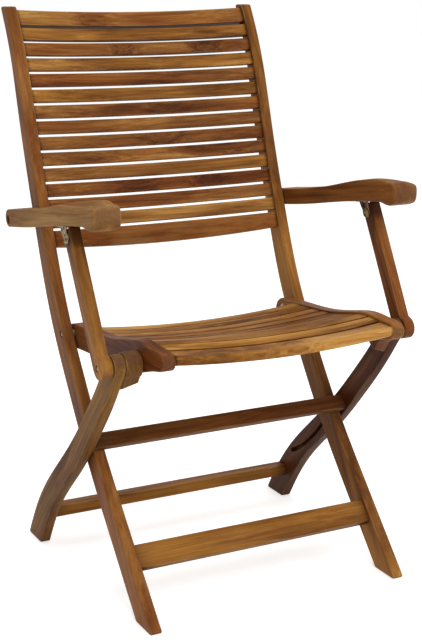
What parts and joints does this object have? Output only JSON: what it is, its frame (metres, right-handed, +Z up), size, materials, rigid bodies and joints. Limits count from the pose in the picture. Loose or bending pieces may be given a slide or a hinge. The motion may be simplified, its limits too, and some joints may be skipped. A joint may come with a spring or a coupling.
{
  "type": "folding armchair",
  "caption": "Folding wooden armchair: bowed slatted back on curved stiles, dished slatted seat, rear legs riding on groove pins, and arms on folding supports.",
  "frame": {"origin": "on the floor, midway between the sides and midway between the front feet's toes and the back's top edge", "axes": "+X to the chair's own left side, which is the right of the picture; +Y from the front of the seat to the backrest; +Z up"},
  "size_m": [0.5796, 0.598, 0.932],
  "materials": {
    "stile_wood": "oiled, satin",
    "crest_wood": "oiled, satin",
    "back_slat_wood": "oiled, satin",
    "seat_slat_wood": "oiled, satin",
    "stretcher_wood": "oiled, satin",
    "rail_wood": "oiled, satin",
    "leg_wood": "oiled, satin",
    "spacer_wood": "oiled, satin",
    "arm_wood": "oiled, satin",
    "support_wood": "oiled, satin",
    "bolt_steel": "dull zinc",
    "bracket_steel": "dark, aged"
  },
  "bodies": {
    "frame": {"left_stile": "stile_wood", "right_stile": "stile_wood", "crest_rail": "crest_wood", "back_slat_1": "back_slat_wood", "back_slat_2": "back_slat_wood", "back_slat_3": "back_slat_wood", "back_slat_4": "back_slat_wood", "back_slat_5": "back_slat_wood", "back_slat_6": "back_slat_wood", "back_slat_7": "back_slat_wood", "back_slat_8": "back_slat_wood", "back_slat_9": "back_slat_wood", "back_slat_10": "back_slat_wood", "back_slat_11": "back_slat_wood", "back_slat_12": "back_slat_wood", "back_slat_13": "back_slat_wood", "back_bottom_rail": "crest_wood", "front_stretcher": "stretcher_wood", "left_groove_pin": "bolt_steel", "right_groove_pin": "bolt_steel", "seat_pivot_bolts": "bolt_steel", "arm_pivot_bolts": "bolt_steel"},
    "seat": {"left_seat_rail": "rail_wood", "right_seat_rail": "rail_wood", "seat_slat_1": "seat_slat_wood", "seat_slat_2": "seat_slat_wood", "seat_slat_3": "seat_slat_wood", "seat_slat_4": "seat_slat_wood", "seat_slat_5": "seat_slat_wood", "seat_slat_6": "seat_slat_wood", "seat_slat_7": "seat_slat_wood", "seat_slat_8": "seat_slat_wood", "seat_slat_9": "seat_slat_wood", "seat_slat_10": "seat_slat_wood", "front_pivot_bolts": "bolt_steel"},
    "rear_legs": {"left_rear_leg": "leg_wood", "right_rear_leg": "leg_wood", "left_spacer": "spacer_wood", "right_spacer": "spacer_wood", "middle_stretcher": "stretcher_wood", "rear_stretcher": "stretcher_wood"},
    "left_arm": {"left_arm": "arm_wood", "left_arm_bracket": "bracket_steel", "left_bracket_screws": "bracket_steel", "left_bracket_rivet": "bracket_steel"},
    "right_arm": {"right_arm": "arm_wood", "right_arm_bracket": "bracket_steel", "right_bracket_screws": "bracket_steel", "right_bracket_rivet": "bracket_steel"},
    "left_support": {"left_arm_support": "support_wood"},
    "right_support": {"right_arm_support": "support_wood"}
  },
  "joints": [
    {"name": "seat_fold", "type": "hinge", "parent": "frame", "child": "seat", "pos_m": [0, 0.05497, 0.406], "axis": [-1, 0, 0], "range_deg": [0, 72]},
    {"name": "leg_fold", "type": "hinge", "parent": "seat", "child": "rear_legs", "pos_m": [0, -0.20703, 0.42], "axis": [-1, 0, 0], "range_deg": [-24.2, 0]},
    {"name": "left_arm_fold", "type": "hinge", "parent": "frame", "child": "left_arm", "pos_m": [-0.2654, 0.16347, 0.5868], "axis": [-1, 0, 0], "range_deg": [0, 72]},
    {"name": "right_arm_fold", "type": "hinge", "parent": "frame", "child": "right_arm", "pos_m": [0.2654, 0.16347, 0.5868], "axis": [-1, 0, 0], "range_deg": [0, 72]},
    {"name": "left_support_fold", "type": "hinge", "parent": "left_arm", "child": "left_support", "pos_m": [-0.2765, -0.09853, 0.6008], "axis": [-1, 0, 0], "range_deg": [-72, 0]},
    {"name": "right_support_fold", "type": "hinge", "parent": "right_arm", "child": "right_support", "pos_m": [0.2765, -0.09853, 0.6008], "axis": [-1, 0, 0], "range_deg": [-72, 0]}
  ],
  "couplings": [
    {"joint": "leg_fold", "follows": "seat_fold", "ratio": -0.335},
    {"joint": "left_arm_fold", "follows": "seat_fold", "ratio": 1},
    {"joint": "right_arm_fold", "follows": "seat_fold", "ratio": 1},
    {"joint": "left_support_fold", "follows": "seat_fold", "ratio": -1},
    {"joint": "right_support_fold", "follows": "seat_fold", "ratio": -1}
  ]
}
